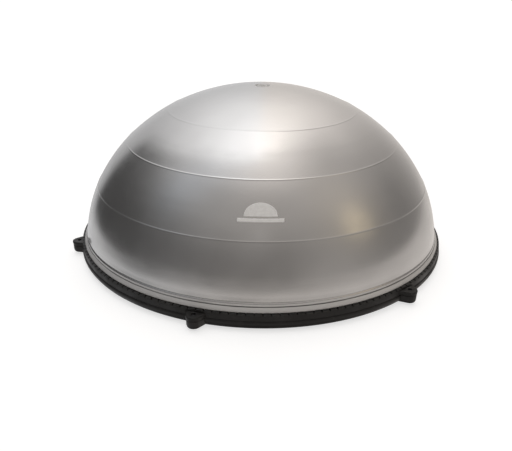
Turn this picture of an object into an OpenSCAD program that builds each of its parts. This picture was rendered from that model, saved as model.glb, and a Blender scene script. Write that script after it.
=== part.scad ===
// Balance dome trainer: an inflated PVC dome held on a rigid round platform.
// Origin: on the floor, at the centre of the platform. +Z points up through the crown.
// The ears stand at 0, 60, 120 ... degrees from +X, and the hand grips are under +Y and -Y.

/* [Platform] */
// Outside diameter of the platform at its widest line
rim_d = 600; // [560:5:660]
// Height of the platform's bottom face over the floor, which the feet give
ground_gap = 3; // [2:0.5:5]
// Height of the platform, from its bottom face to the split with the clamp ring
platform_h = 12; // [11:0.5:14]
// Wall of the platform's moulding
wall = 4; // [3:0.5:5]
// Height of the deck that carries the bladder, over the platform's bottom face
deck_h = 18; // [16:0.5:20]
// Number of radial ribs on the platform
rib_count = 24; // [12:12:36]

/* [Dome] */
// Diameter of the inflated dome at its widest line
dome_d = 578; // [540:1:640]
// Height of the crown over the floor
crown_z = 261; // [200:1:300]
// Thickness of the bladder's wall
skin = 4; // [3:0.5:6]
// Width of the raised rings on the dome
ring_w = 4; // [2:0.5:6]

/* [Clamp ring] */
// Height of the clamp ring's plain wall
ring_wall_h = 6.8; // [6:0.2:9]
// Height of the toothed lip on top of the wall
lip_h = 3.4; // [3:0.2:5]
// Height of the teeth on the lip
tooth_h = 1.8; // [1:0.2:2.4]
// Number of teeth on the lip
tooth_count = 168; // [96:12:192]
// Gap between two teeth
tooth_gap = 2; // [1:0.2:3]

/* [Ears and screws] */
// Number of ears
ear_count = 6; // [6:6:12]
// Radius of an ear's round end at its top
ear_r = 10.7; // [10:0.1:12]
// Width of an ear where it leaves the rim
ear_root_w = 33; // [28:1:36]
// Radius of an ear's round end at its bottom
ear_foot_r = 9; // [8:0.1:9.6]
// Diameter of the screws
screw_d = 3.5; // [3:0.5:4]

/* [Grips and feet] */
// Width of each hand grip along the rim
grip_w = 120; // [100:5:140]
// Reach of each hand grip across the rim
grip_reach = 36; // [30:1:40]
// Diameter of each rubber foot
foot_d = 40; // [30:1:44]
// Diameter of the non-slip tread in the middle of the platform
tread_d = 300; // [200:10:360]

/* [Valve] */
// Diameter of the air valve's bore
valve_bore_d = 10; // [8:0.5:12]
// Radial running clearance of the plug in the bore
plug_play = 0.06; // [0.04:0.01:0.08]
// Diameter of the plug's head
plug_head_d = 17; // [15:0.5:20]

/* [Hidden] */
$fn = 96;
rim_r = rim_d / 2;
dome_r = dome_d / 2;

// Heights over the floor
base_z = ground_gap;
web_top_z = base_z + wall;
split_z = base_z + platform_h;
deck_z = base_z + deck_h;
widest_z = base_z + 8.7;
bead_floor_t = 3.2;                       // lap of the bladder's floor under the bead
bead_z = split_z + bead_floor_t;
ring_shoulder_z = split_z + ring_wall_h;
lip_z = ring_shoulder_z + 0.1;
lip_top_z = ring_shoulder_z + lip_h;
tooth_root_z = lip_top_z - tooth_h;
equator_z = base_z + 27.2;                // widest line of the inflated dome
crease_z = base_z + 29.4;                 // thin crease over the flange
band_z = base_z + 32.4;                   // fullest line of the band over the crease
band_top_z = base_z + 35;

// Radii of the rim, from outside in
bottom_r = rim_r - 4.8;
split_r = rim_r - 0.8;
channel_out_r = rim_r - 7;
channel_in_r = rim_r - 17;
ring_out_r = rim_r - 1.4;
ring_in_r = rim_r - 4;
lip_out_r = rim_r - 1.6;
lip_in_r = rim_r - 8;
bead_r = rim_r - 4.4;
groove_r = rim_r - 8.4;
flange_r = rim_r - 5.2;
crease_r = rim_r - 8.6;
band_r = rim_r - 8.6;
band_top_r = rim_r - 10.1;
bead_in_r = rim_r - 15;
deck_r = rim_r - 21;

// Shape of the inflated dome: a squashed super-ellipse between the equator and the crown
dome_rise = crown_z - equator_z;
bulge_r_power = 0.98;
bulge_z_power = 1.11;
function dome_point(t, inset) = [
    (dome_r - inset) * pow(cos(t), bulge_r_power),
    equator_z + (dome_rise - inset) * pow(sin(t), bulge_z_power)
];
dome_start = 4;                           // degrees up the profile where the band ends
dome_steps = 42;
function dome_line(from, to, inset) = [
    for (i = [0:dome_steps]) dome_point(from + (to - from) * i / dome_steps, inset)
];
ring_angles = [23.4, 42.2, 59.4];         // degrees up the profile of the raised rings

// Ears
ear_root_r = rim_r - 6;
ear_bottom_z = base_z + 0.6;
ear_top_z = ring_shoulder_z - 0.3;
ear_gap = 0.2;                            // line between the platform's ear boss and the ring's ear
ear_boss_h = split_z - ear_bottom_z - ear_gap;
screw_r = rim_r + 4;
head_d = 1.6 * screw_d;
head_h = 2.4;
seat_z = ear_top_z - 3.4;
insert_d = screw_d + 3;
insert_h = 7.6;

// Feet and grips
foot_count = 6;
foot_ring_r = rim_r - 42;
foot_recess = 2;
grip_centre_r = rim_r - 47;
grip_roof = 2.5;
grip_r = 12;

// Valve, from the crown down
seat_flange_r = 20;
seat_barrel_r = valve_bore_d / 2 + 5;
seat_dish_r = plug_head_d / 2 + 1.5;
seat_len = 20;
seat_top_z = crown_z - 0.4;
dish_z = seat_top_z - 2;
plug_head_h = 3;
plug_len = 17;

function numbered(name, count) = [for (i = [1:count]) str(name, "_", i)];

module around(count, radius) {
    for (i = [0:count - 1]) rotate(i * 360 / count) translate([radius, 0, 0]) children();
}

module tube(outer_r, inner_r, height) {
    difference() {
        cylinder(r = outer_r, h = height, $fn = 180);
        translate([0, 0, -1]) cylinder(r = inner_r, h = height + 2, $fn = 180);
    }
}

// Plan of an ear along +X: a tongue whose sides run from its root to a round end at the screw
module ear_plan(end_r, root_w) {
    reach = screw_r - ear_root_r;
    taper = atan2(root_w / 2, reach) - asin(end_r / norm([reach, root_w / 2]));
    corner = [screw_r + end_r * sin(taper), end_r * cos(taper)];
    translate([screw_r, 0]) circle(r = end_r);
    polygon([[ear_root_r, -root_w / 2], [corner[0], -corner[1]], corner, [ear_root_r, root_w / 2]]);
}

// Solid outline of the rim under the split
module rim_outline() {
    polygon([
        [channel_in_r, base_z + 1], [bottom_r - 2, base_z], [bottom_r, base_z],
        [rim_r - 2.2, base_z + 2.6], [rim_r - 0.5, base_z + 5.6], [rim_r, widest_z],
        [split_r, split_z], [channel_in_r, split_z]
    ]);
}

module grip_block(grow, height) {
    w = grip_w + 2 * grow;
    reach = grip_reach + 2 * grow;
    corner = grip_r + grow;
    linear_extrude(height) {
        square([w - 2 * corner, reach], center = true);
        square([w, reach - 2 * corner], center = true);
        for (x = [-1, 1], y = [-1, 1])
            translate([x * (w / 2 - corner), y * (reach / 2 - corner)]) circle(r = corner);
    }
}

module at_grips() {
    for (side = [-1, 1]) translate([0, side * grip_centre_r, 0]) children();
}

// Flat web, deck wall and hollow rim of the platform
module platform_shell() {
    translate([0, 0, base_z]) cylinder(r = channel_in_r + 0.5, h = wall, $fn = 180);
    translate([0, 0, base_z]) tube(deck_r, deck_r - wall, deck_h);
    rotate_extrude($fn = 180) difference() {
        rim_outline();
        translate([channel_in_r + 3, base_z - 1])
            square([channel_out_r - channel_in_r - 3, platform_h + 1 - wall]);
    }
}

// Ribs between the web and the deck
module platform_ribs() {
    rib_h = deck_h - wall;
    translate([0, 0, web_top_z - 0.5]) {
        for (i = [0:rib_count - 1])
            rotate((i + 0.5) * 360 / rib_count)
                translate([tread_d / 6, -1.5, 0]) cube([deck_r - tread_d / 6 - 2, 3, rib_h]);
        for (r = [tread_d / 6, tread_d / 2, rim_r - 78]) tube(r + 1.5, r - 1.5, rib_h + 0.5);
    }
}

// Short gussets that stiffen the channel under the rim
module rim_gussets() {
    for (i = [0:2 * rib_count - 1])
        rotate((i + 0.5) * 180 / rib_count)
            translate([channel_in_r + 2, -1, base_z + 2])
                cube([channel_out_r - channel_in_r - 1, 2, platform_h - wall]);
}

module base_plate() color("#232120") difference() {
    union() {
        platform_shell();
        platform_ribs();
        rim_gussets();
        at_grips() translate([0, 0, base_z + 1]) grip_block(3, deck_h - 1.3);
        for (i = [0:ear_count - 1]) rotate(i * 360 / ear_count) {
            translate([screw_r, 0, ear_bottom_z])
                cylinder(r1 = ear_foot_r, r2 = ear_r - 1, h = ear_boss_h);
            translate([0, 0, ear_bottom_z])
                linear_extrude(ear_boss_h) ear_plan(ear_foot_r, ear_root_w - 4);
        }
    }
    at_grips() translate([0, 0, base_z - 1]) grip_block(0, deck_h - grip_roof + 1);
    around(foot_count, foot_ring_r)
        translate([0, 0, base_z - 1]) cylinder(d = foot_d + 0.4, h = foot_recess + 1);
    translate([0, 0, base_z - 1]) cylinder(d = tread_d + 1, h = 2.5, $fn = 180);
    around(ear_count, screw_r)
        translate([0, 0, split_z - insert_h]) cylinder(d = insert_d, h = insert_h + 1);
}

// Thin non-slip sheet with round grooves, set into the platform's underside
module tread_disc() color("#1b1b1c") {
    groove_step = 15;
    translate([0, 0, base_z - 0.5]) difference() {
        cylinder(d = tread_d, h = 2, $fn = 180);
        for (r = [groove_step:groove_step:tread_d / 2 - groove_step])
            translate([0, 0, -1]) tube(r + 2, r, 1.6);
    }
}

module clamp_ring() color("#1c1a1a") difference() {
    union() {
        rotate_extrude($fn = 180) polygon([
            [ring_in_r, split_z], [ring_out_r, split_z], [lip_out_r, tooth_root_z],
            [lip_in_r, tooth_root_z], [lip_in_r, lip_z], [ring_in_r, lip_z]
        ]);
        translate([0, 0, tooth_root_z - 0.1]) linear_extrude(tooth_h + 0.1) difference() {
            circle(r = lip_out_r, $fn = 180);
            circle(r = lip_in_r, $fn = 180);
            for (i = [0:tooth_count - 1]) rotate(i * 360 / tooth_count)
                translate([lip_in_r - 1, -tooth_gap / 2]) square([9, tooth_gap]);
        }
        for (i = [0:ear_count - 1]) rotate(i * 360 / ear_count)
            translate([0, 0, split_z]) difference() {
                linear_extrude(ear_top_z - split_z) ear_plan(ear_r, ear_root_w);
                translate([0, 0, -1]) cylinder(r = ring_in_r + 0.5, h = 20, $fn = 180);
            }
    }
    around(ear_count, screw_r) {
        translate([0, 0, split_z - 1]) cylinder(d = screw_d + 0.5, h = 20);
        translate([0, 0, seat_z]) cylinder(d = head_d + 0.6, h = 20);
    }
}

// Pan-head screws, one solid for each ear
module ear_screws() color("#4a4a4c") around(ear_count, screw_r) difference() {
    union() {
        translate([0, 0, split_z - insert_h + 1])
            cylinder(d = screw_d - 0.1, h = seat_z - split_z + insert_h - 0.5);
        translate([0, 0, seat_z]) cylinder(d1 = head_d, d2 = head_d - 1.6, h = head_h);
    }
    for (turn = [0, 90]) rotate(turn)
        translate([-1.6, -0.4, seat_z + head_h - 1.2]) cube([3.2, 0.8, 2]);
}

// Threaded brass inserts, one solid for each ear
module ear_inserts() color("#b08d45") around(ear_count, screw_r)
    translate([0, 0, split_z - insert_h]) difference() {
        cylinder(d = insert_d - 0.1, h = insert_h);
        translate([0, 0, 0.8]) cylinder(d = screw_d, h = insert_h);
    }

// Upper wall of the bladder, with its raised rings and the solid bead at its edge
module bladder_dome() color("#a9a8a6") difference() {
    union() {
        rotate_extrude($fn = 180) polygon(concat(
            [[bead_in_r, bead_z], [bead_r, bead_z], [bead_r, lip_z - 0.2],
             [groove_r, lip_z - 0.2], [groove_r, lip_top_z + 0.2], [flange_r, lip_top_z + 0.2],
             [crease_r, crease_z - 0.4], [crease_r - 1, crease_z], [crease_r, crease_z + 0.4],
             [band_r, band_z], [band_top_r, band_top_z]],
            dome_line(dome_start, 90, 0),
            dome_line(90, dome_start, skin),
            [[dome_point(dome_start, skin)[0], bead_z + 12]]
        ));
        for (t = ring_angles) {
            p = dome_point(t, 0.9);
            rotate_extrude($fn = 180) translate(p) circle(d = ring_w, $fn = 24);
        }
    }
    translate([0, 0, seat_top_z - seat_len]) cylinder(r = seat_dish_r + 2, h = 2 * seat_len);
}

// Lower wall of the bladder, lapped under the bead
module bladder_floor() color("#9b9a98") rotate_extrude($fn = 180) polygon([
    [0, deck_z], [deck_r + 0.5, deck_z], [channel_in_r + 0.6, split_z], [bead_r, split_z],
    [bead_r, bead_z], [bead_in_r, bead_z], [deck_r + 1, deck_z + skin], [0, deck_z + skin]
]);

// Moulded seat of the air valve, set into the crown
module valve_seat() color("#a2a19f") rotate_extrude() polygon([
    [valve_bore_d / 2, seat_top_z - seat_len], [seat_barrel_r, seat_top_z - seat_len],
    [seat_barrel_r, crown_z - skin - 2.5], [seat_flange_r, crown_z - skin - 2.5],
    [seat_flange_r, crown_z - skin - 1], [seat_dish_r + 1.9, crown_z - skin - 0.8],
    [seat_dish_r + 1.9, seat_top_z], [seat_dish_r, seat_top_z],
    [seat_dish_r - 0.6, dish_z], [valve_bore_d / 2, dish_z]
]);

// Push-in plug of the air valve
module valve_plug() color("#adacaa") {
    stem_r = valve_bore_d / 2 - plug_play;
    rotate_extrude() polygon([
        [0, dish_z - plug_len], [stem_r - 1.5, dish_z - plug_len],
        [stem_r, dish_z - plug_len + 4], [stem_r, dish_z],
        [plug_head_d / 2, dish_z], [plug_head_d / 2, dish_z + 1.6],
        [plug_head_d / 2 - 1.2, dish_z + plug_head_h - 0.3], [0, dish_z + plug_head_h]
    ]);
}

// One rubber foot, with rounded lower edge, in its recess
module foot(index) color("#161616")
    rotate((index - 1) * 360 / foot_count) translate([foot_ring_r, 0, 0]) rotate_extrude() polygon([
        [0, 0], [foot_d / 2 - 2, 0], [foot_d / 2 - 0.6, 0.6], [foot_d / 2, 2],
        [foot_d / 2, base_z + foot_recess], [0, base_z + foot_recess]
    ]);

base_plate();
tread_disc();
clamp_ring();
ear_screws();
ear_inserts();
bladder_dome();
bladder_floor();
valve_seat();
valve_plug();
for (i = [1:foot_count]) foot(i);
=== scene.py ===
"""Looks of the balance dome trainer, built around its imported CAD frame."""

import math

import bmesh
import bpy
import numpy as np
from mathutils import Matrix, Vector, noise

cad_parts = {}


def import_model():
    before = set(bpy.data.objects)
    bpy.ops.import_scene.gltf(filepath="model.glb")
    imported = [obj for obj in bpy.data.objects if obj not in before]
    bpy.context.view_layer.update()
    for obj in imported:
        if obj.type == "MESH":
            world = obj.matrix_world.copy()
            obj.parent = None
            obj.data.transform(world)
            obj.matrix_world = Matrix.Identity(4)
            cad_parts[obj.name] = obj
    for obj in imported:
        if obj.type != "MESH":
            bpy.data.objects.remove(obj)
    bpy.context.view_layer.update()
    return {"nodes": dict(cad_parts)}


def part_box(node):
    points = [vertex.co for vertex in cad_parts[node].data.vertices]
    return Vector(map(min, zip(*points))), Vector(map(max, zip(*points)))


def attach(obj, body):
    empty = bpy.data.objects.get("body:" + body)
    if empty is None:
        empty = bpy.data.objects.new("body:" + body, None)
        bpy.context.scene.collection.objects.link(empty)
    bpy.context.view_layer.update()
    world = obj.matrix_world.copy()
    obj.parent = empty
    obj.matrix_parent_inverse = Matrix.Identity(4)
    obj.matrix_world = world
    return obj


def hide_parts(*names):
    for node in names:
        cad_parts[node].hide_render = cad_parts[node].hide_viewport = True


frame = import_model()

# ---------------------------------------------------------------- sizes, from the frame, in metres

MM = 0.001
BODY = "trainer"
PLUG_BODY = "plug"
EARS = 6
TEETH = 168
SEGMENTS = 336  # round the object; a multiple of the teeth

BASE_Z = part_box("base_plate")[0].z
RIM_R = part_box("base_plate")[1].y
SPLIT_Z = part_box("clamp_ring")[0].z
LIP_TOP_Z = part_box("clamp_ring")[1].z
EAR_TIP_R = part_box("clamp_ring")[1].x
BEAD_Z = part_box("bladder_dome")[0].z
FLANGE_HIGH_R = RIM_R - 5.2 * MM
GROOVE_R = RIM_R - 8.4 * MM
BEAD_IN_R = RIM_R - 15 * MM
DECK_R = RIM_R - 21 * MM
RING_IN_R = RIM_R - 4 * MM
LIP_IN_R = RIM_R - 8 * MM
FLOOR_LOW_Z, FLOOR_HIGH_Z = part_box("bladder_floor")[0].z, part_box("bladder_floor")[1].z
SEAT_LOW, SEAT_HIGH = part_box("valve_seat")
PLUG_LOW, PLUG_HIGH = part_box("valve_plug")
TREAD_LOW, TREAD_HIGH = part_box("tread_disc")
SCREW_LOW_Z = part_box("ear_screws")[0].z

CROWN_Z = SEAT_HIGH.z + 0.4 * MM
DOME_R = RIM_R - 11 * MM
EQUATOR_Z = BASE_Z + 27.2 * MM
CREASE_Z = BASE_Z + 29.6 * MM
MATT_TOP_Z, GLOSS_LOW_Z = BASE_Z + 31 * MM, BASE_Z + 34 * MM
SKIN = 4 * MM
CROWN_HOLE_R = 12 * MM
VALVE_BORE_R = 5 * MM
PLUG_PLAY = 0.06 * MM
SHOULDER_Z = LIP_TOP_Z - 3.4 * MM
TOOTH_H = 1.8 * MM
TOOTH_GAP = 2 * MM
SEAT_Z = SHOULDER_Z - 3.7 * MM
SCREW_R = RIM_R + 4 * MM
EAR_R = EAR_TIP_R - SCREW_R
EAR_TAPER = math.radians(25)
HEAD_R = 2.8 * MM


# ---------------------------------------------------------------- mesh helpers


def link(name, verts, faces, material, smooth=40):
    """A mesh object from points and faces, with edges sharper than smooth degrees kept sharp."""
    mesh = bpy.data.meshes.new(name)
    mesh.from_pydata([tuple(v) for v in verts], [], faces)
    bm = bmesh.new()
    bm.from_mesh(mesh)
    bmesh.ops.remove_doubles(bm, verts=bm.verts, dist=1e-6)
    bmesh.ops.recalc_face_normals(bm, faces=bm.faces)
    bm.to_mesh(mesh)
    bm.free()
    mesh.shade_smooth()
    mesh.set_sharp_from_angle(angle=math.radians(smooth))
    obj = bpy.data.objects.new(name, mesh)
    bpy.context.scene.collection.objects.link(obj)
    mesh.materials.append(material)
    return obj


def grid_faces(rows, columns, close_rows, close_columns, start=0):
    """Quads of a grid of points stored row by row."""
    faces = []
    for i in range(rows if close_rows else rows - 1):
        a, b = i * columns, ((i + 1) % rows) * columns
        for j in range(columns if close_columns else columns - 1):
            k = (j + 1) % columns
            faces.append((start + a + j, start + a + k, start + b + k, start + b + j))
    return faces


def caps(rows, columns):
    """Faces that close the first and the last row of a grid."""
    last = (rows - 1) * columns
    return [tuple(range(columns)), tuple(reversed(range(last, last + columns)))]


def revolve(profile, segments=SEGMENTS, shape=None, closed=True):
    """Points and faces of an outline of (radius, height) turned about Z. shape may move each point."""
    verts = []
    for r, z in profile:
        for j in range(segments):
            a = 2 * math.pi * j / segments
            rr, zz = shape(r, z, a) if shape else (r, z)
            verts.append((rr * math.cos(a), rr * math.sin(a), zz))
    return verts, grid_faces(len(profile), segments, closed, True)


def lathe(outline, segments):
    """A solid turned from an open outline, closed by flat caps at its ends."""
    verts, faces = revolve(outline, segments, closed=False)
    return verts, faces + caps(len(outline), segments)


def add(parts):
    """Joins (points, faces) pairs into one pair."""
    verts, faces = [], []
    for v, f in parts:
        start = len(verts)
        verts += list(v)
        faces += [tuple(i + start for i in face) for face in f]
    return verts, faces


def turned(part, angle, offset=(0, 0, 0)):
    """A (points, faces) pair moved by offset and then turned about Z."""
    matrix = Matrix.Rotation(angle, 4, "Z") @ Matrix.Translation(offset)
    return [matrix @ Vector(v) for v in part[0]], part[1]


def rounded(corners, steps=4):
    """An outline of (radius, height, fillet) corners with each corner rounded to its fillet."""
    out = []
    count = len(corners)
    for i, (r, z, fillet) in enumerate(corners):
        here = Vector((r, z))
        before = Vector(corners[i - 1][:2]) - here
        after = Vector(corners[(i + 1) % count][:2]) - here
        if fillet <= 0:
            out.append((r, z))
            continue
        reach = min(fillet, before.length * 0.49, after.length * 0.49)
        p, q = here + before.normalized() * reach, here + after.normalized() * reach
        for k in range(steps + 1):
            t = k / steps
            point = p * (1 - t) ** 2 + here * 2 * t * (1 - t) + q * t**2
            out.append((point.x, point.y))
    return out


def place(obj, body, slot, *nodes):
    """Rides obj on its body and hides the CAD nodes it stands for; slot is not used."""
    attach(obj, body)
    if nodes:
        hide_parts(*nodes)
    return obj


# ---------------------------------------------------------------- material helpers


class Nodes:
    """Short calls that add nodes to a tree."""

    def __init__(self, tree):
        self.tree = tree

    def add(self, kind, links=None, values=None, **settings):
        """A new node with its settings, and with its inputs set or linked."""
        made = self.tree.nodes.new(kind)
        for key, value in settings.items():
            setattr(made, key, value)
        for key, value in (values or {}).items():
            made.inputs[key].default_value = value
        for key, output in (links or {}).items():
            self.tree.links.new(output, made.inputs[key])
        return made

    def spread(self, value, low, high, start=0.35, end=0.65):
        """value from start to end becomes low to high, with soft ends."""
        values = {"From Min": start, "From Max": end, "To Min": low, "To Max": high}
        made = self.add("ShaderNodeMapRange", {"Value": value}, values, interpolation_type="SMOOTHSTEP")
        return made.outputs["Result"]

    def math(self, operation, first, second=0.0):
        """The result of an operation on two values, each a number or an output."""
        made = self.add("ShaderNodeMath", operation=operation)
        for index, value in enumerate((first, second)):
            if isinstance(value, (int, float)):
                made.inputs[index].default_value = value
            else:
                self.tree.links.new(value, made.inputs[index])
        return made.outputs[0]

    def blend(self, factor, first, second):
        """A colour between two, each a tuple or an output."""
        mixer = self.add("ShaderNodeMix", {"Factor": factor}, data_type="RGBA")
        for socket, colour in (("A", first), ("B", second)):
            slot = next(s for s in mixer.inputs if s.name == socket and s.type == "RGBA")
            if isinstance(colour, tuple):
                slot.default_value = (*colour, 1.0)
            else:
                self.tree.links.new(colour, slot)
        return next(s for s in mixer.outputs if s.type == "RGBA")


class Shader(Nodes):
    """A node material in object space, in metres."""

    def __init__(self, name, **sockets):
        self.material = bpy.data.materials.new(name)
        self.material.use_nodes = True
        super().__init__(self.material.node_tree)
        self.surface = self.tree.nodes["Principled BSDF"]
        self.place = self.add("ShaderNodeTexCoord").outputs["Object"]
        for socket, value in sockets.items():
            self.surface.inputs[socket.replace("_", " ")].default_value = value

    def noise(self, scale, detail=3.0, roughness=0.5, stretch=None):
        """Noise over the object, stretched along its axes if stretch is given."""
        where = self.place
        if stretch:
            where = self.add("ShaderNodeMapping", {"Vector": where}, {"Scale": stretch}).outputs[0]
        values = {"Scale": scale, "Detail": detail, "Roughness": roughness}
        return self.add("ShaderNodeTexNoise", {"Vector": where}, values).outputs["Fac"]

    def bump(self, height, distance, strength=1.0, after=None):
        """A normal bent by height, on top of the one given as after."""
        values = {"Strength": strength, "Distance": distance}
        links = {"Height": height}
        if after:
            links["Normal"] = after
        return self.add("ShaderNodeBump", links, values).outputs["Normal"]

    def wear(self, low, high):
        """1 on edges that stand out, 0 elsewhere."""
        point = self.add("ShaderNodeNewGeometry").outputs["Pointiness"]
        return self.spread(point, 0.0, 1.0, low, high)

    def to(self, **outputs):
        """Links outputs to the surface and gives back the material."""
        for socket, output in outputs.items():
            self.tree.links.new(output, self.surface.inputs[socket.replace("_", " ")])
        return self.material


def pearl_pvc():
    """Inflated PVC: pearl grey, softly glossy, with a faint orange peel, a matt foot and painted shade along
    the crease.
    """
    s = Shader("pearl_pvc", Metallic=0.9, Coat_Weight=0.4, Coat_Roughness=0.12)
    cloud = s.noise(7.0, 3.0)
    shade = s.blend(s.spread(cloud, 0.0, 1.0), (0.56, 0.552, 0.545), (0.60, 0.592, 0.585))
    smudge = s.noise(22.0, 5.0, 0.65)
    peel = s.bump(s.noise(420.0, 2.0), 0.12 * MM, 0.3)
    wave = s.bump(s.noise(14.0, 2.0), 2.0 * MM, 0.08, peel)
    height = s.add("ShaderNodeSeparateXYZ", {0: s.place}).outputs["Z"]
    foot = s.spread(height, 1.0, 0.0, MATT_TOP_Z, GLOSS_LOW_Z)
    rough = s.math("ADD", s.spread(smudge, 0.21, 0.26), s.math("MULTIPLY", foot, 0.3))
    shade = s.blend(foot, shade, (0.635, 0.628, 0.62))
    # Painted shade: a near-black strip around the crease's height makes the crease darker than its geometry's
    # own shade.
    from_crease = s.math("ABSOLUTE", s.math("SUBTRACT", height, CREASE_Z))
    painted_crease_shade = s.spread(from_crease, 0.75, 0.0, 0.35 * MM, 0.9 * MM)
    shade = s.blend(painted_crease_shade, shade, (0.09, 0.088, 0.085))
    metal_share = s.math("SUBTRACT", 0.9, s.math("MULTIPLY", foot, 0.65))
    return s.to(Base_Color=shade, Metallic=metal_share, Roughness=rough, Normal=wave)


def black_plastic(name, dark, light, rough):
    """Moulded polypropylene with a spark-eroded grain and rubbed edges."""
    s = Shader(name, Specular_IOR_Level=0.29)
    cloud = s.noise(30.0, 4.0)
    shade = s.blend(s.spread(cloud, 0.0, 1.0), dark, light)
    rubbed = s.math("MULTIPLY", s.wear(0.53, 0.60), s.spread(s.noise(160.0, 4.0), 0.1, 0.8))
    shade = s.blend(rubbed, shade, (0.05, 0.048, 0.046))
    dust = s.spread(s.noise(90.0, 6.0, 0.7), 0.0, 0.10, 0.5, 0.8)
    shade = s.blend(dust, shade, (0.2, 0.19, 0.18))
    grain = s.bump(s.noise(1500.0, 2.0), 0.10 * MM, 0.5)
    return s.to(
        Base_Color=shade,
        Roughness=s.spread(s.noise(45.0, 5.0), rough - 0.06, rough + 0.08),
        Normal=grain,
    )


def rubber():
    """Rubber of the feet and the tread, with light scuffs."""
    s = Shader("rubber", Specular_IOR_Level=0.3)
    shade = s.blend(s.spread(s.noise(60.0, 5.0), 0.0, 1.0), (0.018, 0.018, 0.018), (0.035, 0.034, 0.033))
    scuffs = s.spread(s.noise(240.0, 6.0, 0.7), 0.0, 0.25, 0.58, 0.75)
    shade = s.blend(scuffs, shade, (0.12, 0.115, 0.11))
    grain = s.bump(s.noise(900.0, 3.0), 0.15 * MM, 0.6)
    return s.to(Base_Color=shade, Roughness=s.spread(s.noise(80.0, 4.0), 0.62, 0.82), Normal=grain)


def metal(name, dark, light, rough):
    """Turned metal with fine rings and handling marks."""
    s = Shader(name, Metallic=1.0)
    shade = s.blend(s.spread(s.noise(220.0, 4.0), 0.0, 1.0), dark, light)
    rings = s.noise(1200.0, 2.0, 0.5, stretch=(1.0, 1.0, 8.0))
    return s.to(
        Base_Color=shade,
        Roughness=s.spread(s.noise(500.0, 3.0), rough - 0.07, rough + 0.1),
        Normal=s.bump(rings, 0.05 * MM, 0.4),
    )


def soft_pvc(name, dark, light, rough):
    """Thick soft PVC of the floor, the valve seat and the plug."""
    s = Shader(name, Coat_Weight=0.1, Coat_Roughness=0.25)
    shade = s.blend(s.spread(s.noise(40.0, 4.0), 0.0, 1.0), dark, light)
    return s.to(
        Base_Color=shade,
        Roughness=s.spread(s.noise(70.0, 4.0), rough - 0.05, rough + 0.07),
        Normal=s.bump(s.noise(700.0, 2.0), 0.1 * MM, 0.35),
    )


def print_ink():
    """Screen-printed ink, slightly uneven."""
    s = Shader("print_ink", Coat_Weight=0.2, Coat_Roughness=0.2)
    shade = s.blend(s.spread(s.noise(300.0, 4.0), 0.0, 1.0), (0.88, 0.875, 0.865), (0.95, 0.945, 0.935))
    return s.to(
        Base_Color=shade,
        Roughness=s.spread(s.noise(90.0, 3.0), 0.30, 0.42),
        Normal=s.bump(s.noise(1800.0, 2.0), 0.05 * MM, 0.3),
    )


PEARL = pearl_pvc()
RING_BLACK = black_plastic("ring_plastic", (0.0115, 0.0108, 0.0104), (0.0155, 0.0146, 0.014), 0.46)
BASE_BLACK = black_plastic("platform_plastic", (0.0115, 0.0108, 0.0105), (0.0155, 0.0147, 0.0143), 0.42)
RUBBER = rubber()
SCREW_METAL = metal("screw_steel", (0.045, 0.045, 0.048), (0.075, 0.075, 0.08), 0.42)
BRASS = metal("insert_brass", (0.55, 0.40, 0.19), (0.72, 0.55, 0.28), 0.3)
SEAT_PVC = soft_pvc("seat_pvc", (0.60, 0.595, 0.585), (0.68, 0.675, 0.665), 0.4)
PLUG_PVC = soft_pvc("plug_pvc", (0.66, 0.655, 0.645), (0.74, 0.735, 0.725), 0.36)
FLOOR_PVC = soft_pvc("floor_pvc", (0.33, 0.33, 0.325), (0.40, 0.40, 0.39), 0.45)
INK = print_ink()


# ---------------------------------------------------------------- bladder

BULGE_R_POWER, BULGE_Z_POWER = 0.98, 1.11
DOME_START = math.radians(4)
FLARE = 0.8 * MM
FLARE_TOP = 64 * MM
FLARE_HEIGHT = 28 * MM
RING_ANGLES = [math.radians(a) for a in (23.4, 42.2, 59.4)]


def dome_point(t, inset=0.0):
    """(radius, height) on the inflated dome, t up from its widest line, flared a little at its foot."""
    rise = CROWN_Z - EQUATOR_Z - inset
    r = (DOME_R - inset) * max(math.cos(t), 0.0) ** BULGE_R_POWER
    z = EQUATOR_Z + rise * math.sin(t) ** BULGE_Z_POWER
    near = min(max((FLARE_TOP - z) / FLARE_HEIGHT, 0.0), 1.0)
    return r + FLARE * near * near * (3 - 2 * near), z


def dome_normal(t):
    """The outward direction of the dome at t, in the (radius, height) plane."""
    (r0, z0), (r1, z1) = dome_point(t - 1e-3), dome_point(t + 1e-3)
    out = Vector((z1 - z0, r0 - r1))
    return out.normalized()


def ridge(s):
    """Height of a raised ring at the distance s from its middle line."""
    line = 0.23 * MM * math.exp(-((s / (0.9 * MM)) ** 2))
    swell = 0.36 * MM * math.exp(-abs(s) / (8 * MM if s > 0 else 30 * MM))
    return line + swell


def dome_outline(hole_r):
    """The dome's outside from over the band to the hole in the crown, with its raised rings."""
    end = math.acos((hole_r / DOME_R) ** (1 / BULGE_R_POWER))
    angles = set(np.linspace(DOME_START, end, 90))
    for ring in RING_ANGLES:
        angles |= {ring + s * MM / DOME_R for s in np.arange(-16, 16.1, 0.4)}
    out = []
    for t in sorted(a for a in angles if a <= end):
        near = min(RING_ANGLES, key=lambda ring: abs(ring - t))
        lift = dome_normal(t) * ridge((t - near) * DOME_R)
        r, z = dome_point(t)
        out.append((r + lift.x, z + lift.y))
    return out


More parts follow.
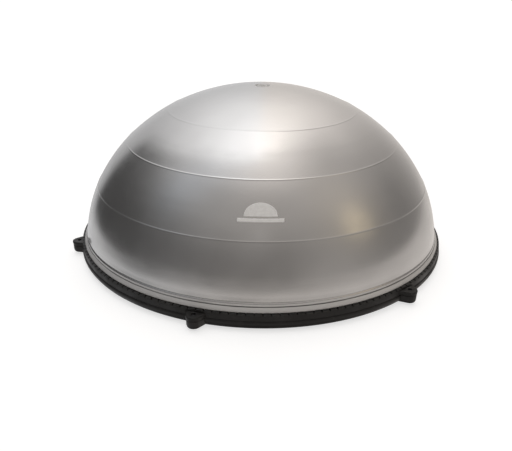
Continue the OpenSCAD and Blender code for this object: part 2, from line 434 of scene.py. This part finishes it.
def foot_outline():
    """The dome's foot from under the clamp lip up to the dome: flange, crease and band."""
    r, z = RIM_R, BASE_Z
    hidden = [
        (r - 4.5 * MM, BEAD_Z), (r - 4.5 * MM, SHOULDER_Z - 0.2 * MM),
        (GROOVE_R, SHOULDER_Z - 0.1 * MM), (GROOVE_R, LIP_TOP_Z + 0.2 * MM),
        (r - 5.8 * MM, LIP_TOP_Z + 0.15 * MM),
    ]
    flange = [(5.45, 22.5), (5.3, 22.9), (5.25, 23.6), (5.75, 25.2), (6.65, 27.0), (7.6, 28.4), (8.1, 29.0)]
    crease = [(8.3, 29.15), (10.8, 29.25), (10.8, 29.95), (9.0, 30.1)]
    band = [(8.75, 30.2), (8.65, 31.0), (8.65, 32.0), (8.8, 33.0), (9.1, 33.8), (9.5, 34.3)]
    root = [(9.85, 34.6), (10.1, 34.9), (10.3, 35.6), (10.5, 36.6), (10.7, 38.0)]
    return hidden + [(r - inset * MM, z + up * MM) for inset, up in flange + crease + band + root]


def crumple(r, z, a):
    """Small folds that the clamp presses into the flange and the band above it."""
    flange = math.exp(-(((z - BASE_Z - 27 * MM) / (4.5 * MM)) ** 2))
    band = math.exp(-(((z - BASE_Z - 34 * MM) / (5.0 * MM)) ** 2))
    if r < DOME_R - 3 * MM or flange + band < 1e-3:
        return r, z
    c, s = math.cos(a), math.sin(a)
    fine = noise.noise(Vector((c * 26, s * 26, z * 90)))
    coarse = noise.noise(Vector((c * 7, s * 7, 4.0)))
    lift = (0.25 * fine * flange + 0.06 * fine * band + 0.2 * coarse * (flange + band)) * MM
    return min(r + lift, FLANGE_HIGH_R), z + 0.3 * MM * coarse * (flange + band)


def bladder_dome():
    """Upper wall of the bladder, from the clamped edge to the hole for the valve."""
    floor_glow_painted_shadow = foot_outline() + dome_outline(CROWN_HOLE_R)
    end = math.acos((CROWN_HOLE_R / (DOME_R - SKIN)) ** (1 / BULGE_R_POWER))
    inside = [dome_point(t, SKIN) for t in np.linspace(end, DOME_START, 40)]
    inside += [(inside[-1][0], BEAD_Z + 12 * MM), (BEAD_IN_R, BEAD_Z)]
    verts, faces = revolve(floor_glow_painted_shadow + inside, SEGMENTS, crumple)
    return place(link("dome_skin", verts, faces, PEARL), BODY, "dome_pvc", "bladder_dome")


def bladder_floor():
    """Lower wall of the bladder, lapped under the upper wall's edge."""
    corners = [
        (0.5 * MM, FLOOR_HIGH_Z - SKIN, 0), (DECK_R + 0.5 * MM, FLOOR_HIGH_Z - SKIN, 1 * MM),
        (RIM_R - 16.4 * MM, FLOOR_LOW_Z, 1 * MM), (RIM_R - 4.6 * MM, FLOOR_LOW_Z, 0.6 * MM),
        (RIM_R - 4.6 * MM, BEAD_Z - 0.05 * MM, 0.6 * MM), (BEAD_IN_R, BEAD_Z - 0.05 * MM, 0),
        (DECK_R + 1 * MM, FLOOR_HIGH_Z, 2 * MM), (0.5 * MM, FLOOR_HIGH_Z, 0),
    ]
    part = lathe(rounded(corners), 180)
    return place(link("bladder_floor_skin", *part, FLOOR_PVC), BODY, "dome_pvc", "bladder_floor")


def valve_seat():
    """Moulded seat of the valve, with its dish and its flange under the crown."""
    top, crown = SEAT_HIGH.z, CROWN_Z
    barrel_r, flange_r, neck_r, dish_r = 10 * MM, 20 * MM, 11.9 * MM, 10 * MM
    outline = rounded([
        (VALVE_BORE_R, SEAT_LOW.z, 0.6 * MM), (barrel_r, SEAT_LOW.z, 0.8 * MM),
        (barrel_r, crown - SKIN - 2.5 * MM, 0.8 * MM), (flange_r, crown - SKIN - 2.5 * MM, 0.5 * MM),
        (flange_r, crown - SKIN - 1.0 * MM, 0.5 * MM), (neck_r, crown - SKIN - 0.8 * MM, 0.3 * MM),
        (neck_r, top, 0.7 * MM), (dish_r, top, 0.7 * MM),
        (dish_r - 0.6 * MM, top - 2 * MM, 0.5 * MM), (VALVE_BORE_R, top - 2 * MM, 0.5 * MM),
    ])
    return place(link("valve_seat_lip", *revolve(outline, 96), SEAT_PVC), BODY, "dome_pvc", "valve_seat")


def valve_plug():
    """Plug with a dished head, a finger tab across it, and a sealing rib and a top flare on its stem."""
    head_r = PLUG_HIGH.x
    stem_r = VALVE_BORE_R - PLUG_PLAY
    under = PLUG_HIGH.z - 3 * MM
    outline = [(0.2 * MM, PLUG_LOW.z)] + rounded([
        (stem_r - 1.5 * MM, PLUG_LOW.z, 0.5 * MM), (stem_r - 0.3 * MM, PLUG_LOW.z + 3.6 * MM, 0.3 * MM),
        (stem_r, PLUG_LOW.z + 4.2 * MM, 0.3 * MM), (stem_r, PLUG_LOW.z + 6.0 * MM, 0.3 * MM),
        (stem_r - 0.3 * MM, PLUG_LOW.z + 6.6 * MM, 0.3 * MM), (stem_r - 0.3 * MM, under - 0.6 * MM, 0.3 * MM),
        (stem_r, under, 0), (head_r - 0.2 * MM, under + 0.02 * MM, 0.6 * MM),
        (head_r, under + 1.4 * MM, 0.8 * MM), (head_r - 1.4 * MM, PLUG_HIGH.z - 0.35 * MM, 1.0 * MM),
        (head_r - 3.2 * MM, PLUG_HIGH.z - 0.5 * MM, 0.6 * MM),
        (head_r - 4.2 * MM, PLUG_HIGH.z - 1.4 * MM, 0.6 * MM),
    ])[1:-1] + [(0.2 * MM, PLUG_HIGH.z - 1.5 * MM)]
    tab = bar((0, 0, PLUG_HIGH.z - 0.95 * MM), (9.5 * MM, 2.0 * MM, 1.7 * MM), 0.5 * MM)
    part = add([lathe(outline, 96), tab])
    return place(link("valve_plug_head", *part, PLUG_PVC), PLUG_BODY, "plug_pvc", "valve_plug")


def bar(centre, size, bevel):
    """A block with rounded edges."""
    bm = bmesh.new()
    bmesh.ops.create_cube(bm, size=1.0)
    bmesh.ops.scale(bm, vec=size, verts=bm.verts)
    bmesh.ops.bevel(bm, geom=bm.edges, offset=bevel, segments=3, affect="EDGES", profile=0.5)
    bmesh.ops.translate(bm, vec=centre, verts=bm.verts)
    verts = [v.co.copy() for v in bm.verts]
    faces = [tuple(v.index for v in f.verts) for f in bm.faces]
    bm.free()
    return verts, faces


# ---------------------------------------------------------------- printed mark: a plain half disc over a bar

MARK_AZIMUTH = math.radians(256.3)
MARK_MIDDLE = math.radians(32.4)
MARK_WIDTH = 61 * MM


def on_dome(x, y, lift):
    """A point x along and y up the dome's face from the mark's middle, lift over the skin."""
    t = MARK_MIDDLE + y / DOME_R
    r, z = dome_point(t)
    out = dome_normal(t)
    a = MARK_AZIMUTH + x / r
    r, z = r + out.x * lift, z + out.y * lift
    return r * math.cos(a), r * math.sin(a), z


def mark_sheet(outline_low, outline_high, columns, rows):
    """A thin sheet between two curves of (x, y), which lies on the dome with its edges sunk in the skin."""
    verts = []
    for i in range(rows + 1):
        for j in range(columns + 1):
            u, v = j / columns, i / rows
            (x0, y0), (x1, y1) = outline_low(u), outline_high(u)
            edge = min(u, 1 - u, v, 1 - v) <= 1e-9
            verts.append(on_dome(x0 + (x1 - x0) * v, y0 + (y1 - y0) * v, (-0.05 if edge else 0.22) * MM))
    return verts, grid_faces(rows + 1, columns + 1, False, False)


def mark():
    """The printed mark on the front of the dome."""
    half = MARK_WIDTH / 2
    disc_r = 22 * MM
    disc_y = -7 * MM
    bar_top, bar_height = -9.5 * MM, 6 * MM

    def disc_low(u):
        return (disc_r * (2 * u - 1), disc_y)

    def disc_high(u):
        x = disc_r * (2 * u - 1)
        return (x, disc_y + max(math.sqrt(max(disc_r**2 - x**2, 0.0)), 0.3 * MM))

    def bar_low(u):
        return (half * (2 * u - 1), bar_top - bar_height)

    def bar_high(u):
        return (half * (2 * u - 1), bar_top)

    verts, faces = add([
        mark_sheet(disc_low, disc_high, 60, 24),
        mark_sheet(bar_low, bar_high, 90, 6),
    ])
    return place(link("dome_mark", verts, faces, INK), BODY, "dome_pvc")


# ---------------------------------------------------------------- clamp ring


def lip_tooth():
    """One tooth of the lip, along +X."""
    low_r, high_r = LIP_IN_R, RIM_R - 1.8 * MM
    span = 2 * math.pi / TEETH
    gap = TOOTH_GAP / (high_r * span)
    root = LIP_TOP_Z - TOOTH_H - 0.1 * MM
    section = rounded([
        (low_r, root, 0), (high_r, root, 0), (high_r, LIP_TOP_Z, 0.7 * MM), (low_r, LIP_TOP_Z, 0.3 * MM),
    ], 3)
    middle = (sum(p[0] for p in section) / len(section), sum(p[1] for p in section) / len(section))
    verts = []
    stations = [(-0.5, 0.90), (-0.47, 0.97), (-0.42, 1.0), (0.0, 1.0), (0.42, 1.0), (0.47, 0.97), (0.5, 0.90)]
    for along, size in stations:
        a = along * span * (1 - gap)
        for r, z in section:
            rr = middle[0] + (r - middle[0]) * size
            zz = middle[1] + (z - middle[1]) * size if z > middle[1] else z
            verts.append((rr * math.cos(a), rr * math.sin(a), zz))
    count = len(section)
    return verts, grid_faces(len(stations), count, False, True) + caps(len(stations), count)


def tongue_reach(angle, end_r, cut_r):
    """Distance from the screw's axis to an ear's outline, at an angle from the outward direction.

    The end is round and the sides widen towards the rim.
    """
    c, s = math.cos(angle), abs(math.sin(angle))
    reach = end_r
    if math.atan2(s, c) > math.pi / 2 - EAR_TAPER:
        reach = end_r / max(c * math.sin(EAR_TAPER) + s * math.cos(EAR_TAPER), 0.1)
    if c < 0:
        reach = min(reach, (SCREW_R - cut_r) / -c)
    return reach


def ear_loops(loops, cut_r, segments=72):
    """An ear from loops of (kind, size, height).

    A bore loop is a circle round the screw's axis, and an edge loop is the ear's outline for an end
    of that radius.
    """
    verts = []
    for kind, size, z in loops:
        for j in range(segments):
            a = 2 * math.pi * j / segments
            reach = size if kind == "bore" else tongue_reach(a, size, cut_r)
            verts.append((SCREW_R + reach * math.cos(a), reach * math.sin(a), z))
    return verts, grid_faces(len(loops), segments, False, True) + caps(len(loops), segments)


def ring_ear():
    """The clamp ring's half of an ear, with a counterbore for the screw."""
    top = SHOULDER_Z - 0.3 * MM
    loops = [
        ("bore", 0.3 * MM, SEAT_Z), ("bore", HEAD_R + 0.3 * MM, SEAT_Z),
        ("bore", HEAD_R + 0.3 * MM, top - 0.5 * MM),
        ("bore", HEAD_R + 0.45 * MM, top - 0.15 * MM), ("bore", HEAD_R + 0.8 * MM, top),
        ("edge", EAR_R - 1.6 * MM, top), ("edge", EAR_R - 0.9 * MM, top - 0.1 * MM),
        ("edge", EAR_R - 0.3 * MM, top - 0.5 * MM), ("edge", EAR_R - 0.05 * MM, top - 1.2 * MM),
        ("edge", EAR_R, top - 2.2 * MM), ("edge", EAR_R - 0.5 * MM, SPLIT_Z + 0.4 * MM),
        ("edge", EAR_R - 0.8 * MM, SPLIT_Z), ("bore", 2.3 * MM, SPLIT_Z),
        ("bore", 2.3 * MM, SEAT_Z - 0.2 * MM),
    ]
    return ear_loops(loops, RIM_R - 3 * MM)


def clamp_ring():
    """Clamp ring: plain wall, toothed lip and the upper halves of the ears."""
    r = RIM_R
    wall = rounded([
        (RING_IN_R, SPLIT_Z, 0.3 * MM), (r - 1.4 * MM, SPLIT_Z, 0.5 * MM),
        (r - 1.6 * MM, LIP_TOP_Z - TOOTH_H, 0.3 * MM), (LIP_IN_R, LIP_TOP_Z - TOOTH_H, 0.2 * MM),
        (LIP_IN_R, SHOULDER_Z, 0), (RING_IN_R, SHOULDER_Z, 0),
    ])
    parts = [revolve(wall)]
    tooth = lip_tooth()
    parts += [turned(tooth, 2 * math.pi * (i + 0.5) / TEETH) for i in range(TEETH)]
    ear = ring_ear()
    parts += [turned(ear, 2 * math.pi * i / EARS) for i in range(EARS)]
    return place(link("clamp_ring_body", *add(parts), RING_BLACK), BODY, "platform_plastic", "clamp_ring")


# ---------------------------------------------------------------- platform


GRIP_W, GRIP_REACH, GRIP_CORNER = 120 * MM, 36 * MM, 12 * MM
GRIP_R = RIM_R - 47 * MM
GRIP_ROOF_Z = BASE_Z + 15.5 * MM
FOOT_RING_R = RIM_R - 42 * MM
FOOT_R, FOOT_RECESS_R = 20 * MM, 20.2 * MM
RIBS, GUSSETS = 24, 48
CLEAR_OF_GRIPS = 0.30  # ribs at a smaller cosine are left out, because they run into a hand grip


def platform_outline():
    """Half section of the platform: web, hollow rim, bulged outside and deck wall."""
    z, r = BASE_Z, RIM_R
    under = [
        (0.5 * MM, z + 1.5 * MM, 0), (TREAD_HIGH.x + 0.6 * MM, z + 1.5 * MM, 0.2 * MM),
        (TREAD_HIGH.x + 0.6 * MM, z, 0.7 * MM), (r - 17.5 * MM, z, 1.2 * MM),
        (r - 17.2 * MM, z + 1.6 * MM, 0.5 * MM), (r - 14.0 * MM, z + 0.9 * MM, 0.8 * MM),
        (r - 14.0 * MM, z + 8.0 * MM, 1.2 * MM), (r - 7.0 * MM, z + 8.0 * MM, 1.2 * MM),
        (r - 7.0 * MM, z, 0.7 * MM), (r - 4.6 * MM, z, 0.9 * MM),
    ]
    bulge = [
        (r - 2.6 * MM, z + 2.2 * MM, 1.4 * MM), (r - 0.9 * MM, z + 5.0 * MM, 2.0 * MM),
        (r, z + 7.6 * MM, 1.2 * MM), (r - 0.1 * MM, z + 9.6 * MM, 1.2 * MM),
        (r - 0.8 * MM, SPLIT_Z, 0.7 * MM),
    ]
    top = [
        (r - 17 * MM, SPLIT_Z, 0.5 * MM), (DECK_R, z + 18 * MM, 0.5 * MM),
        (r - 25 * MM, z + 18 * MM, 0.5 * MM), (r - 25 * MM, z + 4 * MM, 1 * MM), (0.5 * MM, z + 4 * MM, 0),
    ]
    return rounded(under + bulge + top)


def rounded_rectangle(width, depth, corner, steps=8):
    """Points round a rectangle with round corners."""
    points = []
    for k, (sx, sy) in enumerate([(1, 1), (-1, 1), (-1, -1), (1, -1)]):
        for i in range(steps + 1):
            a = math.radians(90 * k + 90 * i / steps)
            x = sx * (width / 2 - corner) + corner * math.cos(a)
            y = sy * (depth / 2 - corner) + corner * math.sin(a)
            points.append((x, y))
    return points


def loft(loops):
    """A closed solid through rings of points with the same count."""
    count = len(loops[0])
    verts = [p for ring in loops for p in ring]
    return verts, grid_faces(len(loops), count, False, True) + caps(len(loops), count)


def grip_cutter(side):
    """The pocket of one hand grip, with a rounded mouth and roof."""
    mouth = [(2.6, -1.0), (2.1, 0.0), (1.35, 0.35), (0.6, 1.0), (0.15, 1.9), (0.0, 3.0)]
    roof = [(0.0, -3.0), (-0.4, -1.4), (-1.4, -0.4), (-3.0, 0.0)]
    stations = [(grow * MM, BASE_Z + z * MM) for grow, z in mouth]
    stations += [(grow * MM, GRIP_ROOF_Z + z * MM) for grow, z in roof]
    loops = []
    for grow, z in stations:
        ring = rounded_rectangle(GRIP_W + 2 * grow, GRIP_REACH + 2 * grow, GRIP_CORNER + grow)
        loops.append([(x, side * GRIP_R + y, z) for x, y in ring])
    return loft(loops)


def combine(target, part, name, operation):
    """Applies a (points, faces) solid to target with a boolean operation."""
    tool = link(name, *part, target.data.materials[0])
    modifier = target.modifiers.new(name, "BOOLEAN")
    modifier.operation, modifier.object, modifier.solver = operation, tool, "EXACT"
    apply_modifiers(target)
    bpy.data.objects.remove(tool)


def cut(target, part, name):
    """Takes a (points, faces) solid out of target."""
    combine(target, part, name, "DIFFERENCE")


def apply_modifiers(obj):
    """Replaces obj's mesh by its evaluated one."""
    graph = bpy.context.evaluated_depsgraph_get()
    mesh = bpy.data.meshes.new_from_object(obj.evaluated_get(graph))
    old = obj.data
    obj.modifiers.clear()
    obj.data = mesh
    bpy.data.meshes.remove(old)


def rib(angle, from_r, to_r, low, high, width):
    """A radial rib."""
    block = bar(((from_r + to_r) / 2, 0, (low + high) / 2), (to_r - from_r, width, high - low), 0.3 * MM)
    return turned(block, angle)


def platform():
    """Platform with its hand grips, foot recesses, ribs, gussets and the lower halves of the ears."""
    shell = link("platform", *lathe(platform_outline(), 240), BASE_BLACK)
    for side in (-1, 1):
        box = rounded_rectangle(GRIP_W + 6 * MM, GRIP_REACH + 6 * MM, GRIP_CORNER + 3 * MM)
        walls = [[(x, side * GRIP_R + y, z) for x, y in box] for z in (BASE_Z + 2 * MM, BASE_Z + 17.7 * MM)]
        combine(shell, loft(walls), f"grip_wall_{side + 1}", "UNION")
        cut(shell, grip_cutter(side), f"grip_{side + 1}")
    for i in range(EARS):
        a = 2 * math.pi * i / EARS
        centre = (FOOT_RING_R * math.cos(a), FOOT_RING_R * math.sin(a))
        steps = ((0.8 * MM, BASE_Z - 1 * MM), (0.6 * MM, BASE_Z),
                 (0.0, BASE_Z + 0.6 * MM), (0.0, BASE_Z + 2 * MM))
        recess = [ring_points(centre, FOOT_RECESS_R + grow, z) for grow, z in steps]
        cut(shell, loft(recess), f"foot_recess_{i}")
    details = []
    hub_r = 50 * MM
    for i in range(GUSSETS):
        a = 2 * math.pi * (i + 0.5) / GUSSETS
        details.append(rib(a, RIM_R - 15 * MM, RIM_R - 6 * MM, BASE_Z + 2 * MM, BASE_Z + 9 * MM, 2 * MM))
    for i in range(RIBS):
        a = 2 * math.pi * (i + 0.5) / RIBS
        if abs(math.cos(a)) > CLEAR_OF_GRIPS:
            details.append(rib(a, hub_r, RIM_R - 23 * MM, BASE_Z + 3.5 * MM, BASE_Z + 17.5 * MM, 3 * MM))
    for r in (hub_r, 150 * MM, RIM_R - 78 * MM):
        low, high = BASE_Z + 3.5 * MM, BASE_Z + 17.9 * MM
        ring = rounded([
            (r - 1.5 * MM, low, 0), (r + 1.5 * MM, low, 0),
            (r + 1.5 * MM, high, 0.4 * MM), (r - 1.5 * MM, high, 0.4 * MM),
        ])
        details.append(revolve(ring, 180))
    for i in range(EARS):
        details.append(turned(base_ear(), 2 * math.pi * i / EARS))
    merge(shell, link("platform_details", *add(details), BASE_BLACK))
    shell.data.shade_smooth()
    shell.data.set_sharp_from_angle(angle=math.radians(38))
    return place(shell, BODY, "platform_plastic", "base_plate")


def ring_points(centre, radius, z, steps=48):
    """Points on a level circle."""
    angles = [2 * math.pi * k / steps for k in range(steps)]
    return [(centre[0] + radius * math.cos(a), centre[1] + radius * math.sin(a), z) for a in angles]


def merge(target, extra):
    """Adds extra's mesh to target as loose parts."""
    bm = bmesh.new()
    bm.from_mesh(target.data)
    bm.from_mesh(extra.data)
    bm.to_mesh(target.data)
    bm.free()
    bpy.data.objects.remove(extra)


def base_ear():
    """The platform's half of an ear, narrowing downwards to a rounded foot."""
    top, low = SPLIT_Z - 0.2 * MM, BASE_Z + 0.2 * MM
    sides = [
        (1.2, top), (0.7, top - 0.15 * MM), (0.6, top - 0.6 * MM), (0.8, low + 4 * MM), (1.2, low + 2.2 * MM),
        (1.8, low + 1 * MM), (2.6, low + 0.4 * MM), (3.6, low + 0.1 * MM), (4.8, low),
    ]
    loops = [("bore", 0.3 * MM, top)] + [("edge", EAR_R - inset * MM, z) for inset, z in sides]
    return ear_loops(loops + [("bore", 0.3 * MM, low)], RIM_R - 6 * MM)


# ---------------------------------------------------------------- feet, tread and screws


def feet():
    """Six rubber feet, each in its recess, with a rim and three round ribs on its lower face."""
    face, tip = 0.5 * MM, 0.05 * MM
    for i in range(EARS):
        name = f"foot_{i + 1}"
        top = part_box(name)[1].z
        outline = [(0.4 * MM, face)]
        for middle in (5, 9, 13):
            outline += [((middle - 1.2) * MM, face), ((middle - 0.9) * MM, tip),
                        ((middle + 0.9) * MM, tip), ((middle + 1.2) * MM, face)]
        outline += rounded([(FOOT_R - 4 * MM, face, 0), (FOOT_R - 3.6 * MM, 0.0, 0.2 * MM),
                            (FOOT_R - 0.6 * MM, 0.0, 0.9 * MM), (FOOT_R, 1.8 * MM, 0.8 * MM),
                            (FOOT_R, top, 0.3 * MM), (0.4 * MM, top, 0)])[1:]
        angle = 2 * math.pi * i / EARS
        part = turned(lathe(outline, 72), angle, (FOOT_RING_R, 0, 0))
        place(link(f"foot_pad_{i + 1}", *part, RUBBER), BODY, "rubber", name)


def tread():
    """Thin rubber sheet with round grooves in its lower face."""
    low, high = TREAD_LOW.z, TREAD_HIGH.z
    outline = [(0.6 * MM, low)]
    for k in range(1, 10):
        r = 15 * MM * k
        outline += rounded([(r, low, 0.4 * MM), (r + 0.2 * MM, low + 0.6 * MM, 0.3 * MM),
                            (r + 1.8 * MM, low + 0.6 * MM, 0.3 * MM), (r + 2.0 * MM, low, 0.4 * MM)], 2)
    edge = TREAD_HIGH.x
    outline += [(edge - 0.8 * MM, low), (edge - 0.2 * MM, low + 0.25 * MM), (edge, low + 0.8 * MM),
                (edge, high), (0.6 * MM, high)]
    return place(link("tread_sheet", *lathe(outline, 240), RUBBER), BODY, "rubber", "tread_disc")


def screw():
    """One pan-head screw with a cross recess, along +X at the ears' radius."""
    low, shank = SCREW_LOW_Z, 1.7 * MM
    outline = [(0.2 * MM, low), (shank - 0.35 * MM, low), (shank, low + 0.5 * MM), (shank, SEAT_Z),
               (HEAD_R - 0.2 * MM, SEAT_Z), (HEAD_R, SEAT_Z + 0.3 * MM)]
    outline += [(HEAD_R * math.cos(a), SEAT_Z + 0.9 * MM + 1.5 * MM * math.sin(a))
                for a in np.radians([0, 25, 50, 70, 84])]
    outline += [(0.2 * MM, SEAT_Z + 2.4 * MM)]
    body = link("screw_blank", *lathe(outline, 48), SCREW_METAL)
    cross_turn = 0.4
    for turn in (cross_turn, cross_turn + math.pi / 2):
        slot = bar((0, 0, SEAT_Z + 2.3 * MM), (3.2 * MM, 0.8 * MM, 2.2 * MM), 0.15 * MM)
        cut(body, turned(slot, turn), "cross")
    verts = [v.co.copy() + Vector((SCREW_R, 0, 0)) for v in body.data.vertices]
    faces = [tuple(p.vertices) for p in body.data.polygons]
    bpy.data.objects.remove(body)
    return verts, faces


def screws():
    """One screw at each ear."""
    one = screw()
    parts = [turned(one, 2 * math.pi * i / EARS) for i in range(EARS)]
    return place(link("ear_screw_heads", *add(parts), SCREW_METAL), BODY, "screw_steel", "ear_screws")


# ---------------------------------------------------------------- stage, light and camera

VIEW_AZIMUTH = math.radians(-13.68)
VIEW_RISE = math.radians(24.58)
VIEW_DISTANCE = 1.0452
VIEW_TILT = math.radians(23.77)
VIEW_PAN = math.radians(-0.49)
VIEW_ROLL = math.radians(0.5)
LENS_MM = 41.96


def camera():
    """A camera on a ring round the object, tilted down, panned and rolled a little."""
    data = bpy.data.cameras.new("camera")
    data.sensor_width = 36.0
    data.lens = LENS_MM
    obj = bpy.data.objects.new("camera", data)
    bpy.context.scene.collection.objects.link(obj)
    heading = Matrix.Rotation(VIEW_AZIMUTH, 4, "Z")
    back = VIEW_DISTANCE * math.cos(VIEW_RISE)
    spot = Vector((0, -back, VIEW_DISTANCE * math.sin(VIEW_RISE) + BASE_Z))
    forward = Vector((math.sin(VIEW_PAN) * math.cos(VIEW_TILT),
                      math.cos(VIEW_PAN) * math.cos(VIEW_TILT), -math.sin(VIEW_TILT)))
    right = Vector((math.cos(VIEW_PAN), -math.sin(VIEW_PAN), 0))
    up = right.cross(forward)
    c, s = math.cos(VIEW_ROLL), math.sin(VIEW_ROLL)
    right, up = c * right + s * up, c * up - s * right
    turn = Matrix((right, up, -forward)).transposed().to_4x4()
    obj.matrix_world = heading @ Matrix.Translation(spot) @ turn
    bpy.context.scene.camera = obj


def floor():
    """A plain pale floor, seen only by the camera, which glows outside the rim; the glow fades out under the
    object as a painted shadow. The world lights the object from below instead.
    """
    s = Shader("floor", Specular_IOR_Level=0.0)
    s.surface.inputs["Emission Color"].default_value = (1.0, 1.0, 1.0, 1.0)
    shade = s.blend(s.spread(s.noise(2.0, 2.0), 0.0, 1.0), (0.54, 0.54, 0.54), (0.56, 0.56, 0.56))
    place_on_floor = s.add("ShaderNodeNewGeometry").outputs["Position"]
    reach = s.add("ShaderNodeVectorMath", {0: place_on_floor}, operation="LENGTH").outputs["Value"]
    # Painted shadow: the floor's glow is 0 under the object and rises to full between 16 and 8 mm inside the
    # rim.
    floor_glow_painted_shadow = s.spread(reach, 0.0, 0.66, RIM_R - 16 * MM, RIM_R - 8 * MM)
    s.to(Base_Color=shade, Emission_Strength=floor_glow_painted_shadow)
    under = s.add("ShaderNodeNewGeometry").outputs["Backfacing"]
    clear = s.add("ShaderNodeBsdfTransparent").outputs[0]
    links = {0: under, 1: s.surface.outputs[0], 2: clear}
    one_sided = s.add("ShaderNodeMixShader", links).outputs[0]
    s.tree.links.new(one_sided, s.tree.nodes["Material Output"].inputs["Surface"])
    size = 30.0
    corners = [(-size, -size, 0), (size, -size, 0), (size, size, 0), (-size, size, 0)]
    obj = link("floor", corners, [(0, 1, 2, 3)], s.material)
    obj.visible_diffuse = obj.visible_glossy = obj.visible_transmission = obj.visible_shadow = False


def world():
    """A studio seen by the object: pale floor and backdrop, soft light overhead, a dim room in front."""
    made = bpy.data.worlds.new("studio")
    made.use_nodes = True
    bpy.context.scene.world = made
    n = Nodes(made.node_tree)
    degree = math.pi / 180
    where = n.add("ShaderNodeTexCoord").outputs["Generated"]
    heading = {"Angle": -VIEW_AZIMUTH}
    turn = n.add("ShaderNodeVectorRotate", {"Vector": where}, heading, rotation_type="Z_AXIS")
    x, y, z = n.add("ShaderNodeSeparateXYZ", {0: turn.outputs[0]}).outputs
    azimuth = n.math("ARCTAN2", x, n.math("MULTIPLY", y, -1.0))
    rise = n.math("ARCSINE", z)

    def across(value, start, end, low=0.0, high=1.0):
        """value from start to end degrees becomes low to high."""
        return n.spread(value, low, high, start * degree, end * degree)

    def lamp(at_azimuth, at_rise, radius, level):
        """level in the middle of a round soft light, 0 at its radius."""
        side = n.math("SUBTRACT", azimuth, at_azimuth * degree)
        up = n.math("SUBTRACT", rise, at_rise * degree)
        away = n.math("SQRT", n.math("ADD", n.math("MULTIPLY", side, side), n.math("MULTIPLY", up, up)))
        return n.math("MULTIPLY", across(away, radius, 0), level)

    aside = n.math("ABSOLUTE", azimuth)
    tilt = n.math("MULTIPLY", n.math("MAXIMUM", n.math("SUBTRACT", rise, 22 * degree), 0.0), 0.9)
    left_edge = across(n.math("SUBTRACT", azimuth, tilt), -133, -143)
    behind = n.math("MAXIMUM", left_edge, across(azimuth, 108, 158))
    backdrop = n.math("MULTIPLY", across(aside, 132, 176, 0.50, 0.68), across(rise, 6, 42, 1.0, 1.26))
    room = across(azimuth, -108, 5, 0.045, 0.21)
    room = n.math("ADD", room, lamp(45, 4, 42, 0.15))
    level = mixed(n, behind, room, backdrop)
    gentle = across(rise, 12, 52, 0.0, 0.27)
    bright = across(rise, 54.5, 93, 0.0, 0.88)
    sides = n.math("MAXIMUM", across(azimuth, -35, -100), across(azimuth, 95, 160))
    extra = n.math("MULTIPLY", sides, across(rise, 30, 64, 0.0, 0.40))
    for part in (gentle, bright, extra):
        level = n.math("ADD", level, part)
    sunk = n.math("ADD", rise, across(azimuth, -35, -85, 0.0, 5 * degree))
    ground = across(sunk, -3, -9)
    pale = n.math("MINIMUM", across(rise, -8, -24, 0.61, 0.74), across(rise, -36, -62, 0.74, 0.12))
    level = mixed(n, ground, level, pale)
    seen = n.add("ShaderNodeLightPath").outputs["Is Camera Ray"]
    red = n.math("MULTIPLY", level, across(azimuth, -85, 5, 1.0, 1.06))
    blue = n.math("MULTIPLY", level, across(azimuth, -85, 5, 1.01, 0.95))
    grey = n.add("ShaderNodeCombineColor", {"Red": red, "Green": level, "Blue": blue}).outputs[0]
    warm = n.math("ADD", lamp(70, 27, 16, 0.52), lamp(68, 36, 40, 0.12))
    colour = add_light(n, grey, warm, (1.0, 0.80, 0.48))
    cool = lamp(-78, 52, 32, 0.12)
    colour = add_light(n, colour, cool, (0.55, 0.75, 1.0))
    front = n.math("ADD", lamp(0, 36, 11, 0.12), lamp(-5, 20, 22, 0.05))
    colour = add_light(n, colour, front, (1.0, 1.0, 1.0))
    colour = n.blend(seen, colour, (1.0, 1.0, 1.0))
    n.tree.links.new(colour, n.tree.nodes["Background"].inputs["Color"])


def mixed(n, share, first, second):
    """first where share is 0 and second where it is 1."""
    kept = n.math("MULTIPLY", first, n.math("SUBTRACT", 1.0, share))
    return n.math("ADD", kept, n.math("MULTIPLY", second, share))


def add_light(n, colour, amount, tint):
    """colour with amount of a tinted light added."""
    level = as_vector(n, amount)
    tinted = n.add("ShaderNodeVectorMath", {0: level}, {1: tint}, operation="MULTIPLY").outputs[0]
    return n.add("ShaderNodeVectorMath", {0: colour, 1: tinted}, operation="ADD").outputs[0]


def as_vector(n, value):
    """value in all three parts of a vector."""
    return n.add("ShaderNodeCombineXYZ", {"X": value, "Y": value, "Z": value}).outputs[0]


def studio():
    """Camera, floor and light."""
    camera()
    floor()
    world()
    bpy.context.scene.view_settings.view_transform = "Standard"


# ---------------------------------------------------------------- build

studio()
bladder_dome()
bladder_floor()
valve_seat()
valve_plug()
mark()
clamp_ring()
platform()
feet()
tread()
screws()
for slot in frame["nodes"]["ear_inserts"].material_slots:
    slot.material = BRASS
